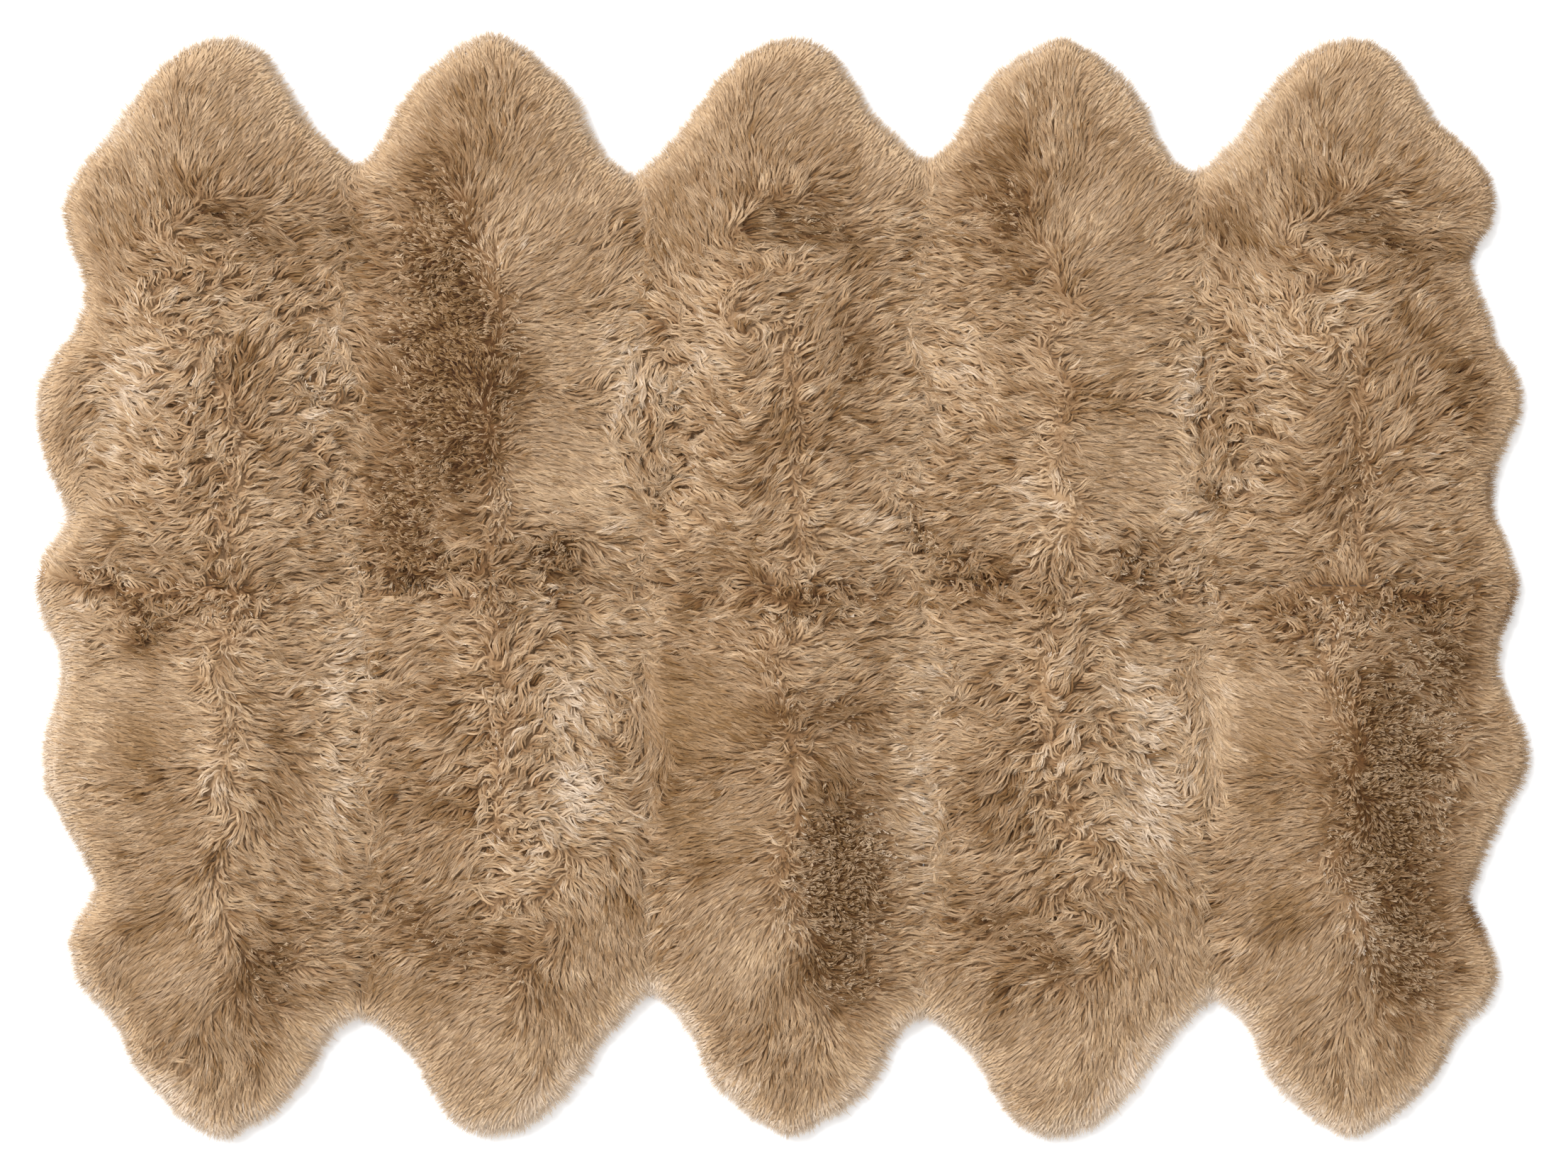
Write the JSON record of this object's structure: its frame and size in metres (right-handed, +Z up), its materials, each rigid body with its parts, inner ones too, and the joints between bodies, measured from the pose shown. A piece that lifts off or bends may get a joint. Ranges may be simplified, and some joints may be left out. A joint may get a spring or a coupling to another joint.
{
  "type": "sheepskin rug",
  "caption": "Large flat sheepskin rug of sewn pelts in two rows, with a scalloped rim of rounded neck ends and a thick, lumpy, taupe wool pile.",
  "frame": {"origin": "on the floor, under the middle of the rug", "axes": "+X along the rug's long side, +Y along its short side from the front row of pelts to the back row, +Z up through the pile"},
  "size_m": [2.4336, 1.8104, 0.0554],
  "materials": {
    "wool": "soft long wool pile, matt with a slight sheen",
    "hide": "suede skin side, matt"
  },
  "bodies": {
    "root": {"pelt_back_1": "wool", "pelt_back_2": "wool", "pelt_back_3": "wool", "pelt_back_4": "wool", "pelt_back_5": "wool", "pelt_front_1": "wool", "pelt_front_2": "wool", "pelt_front_3": "wool", "pelt_front_4": "wool", "pelt_front_5": "wool"}
  },
  "joints": []
}
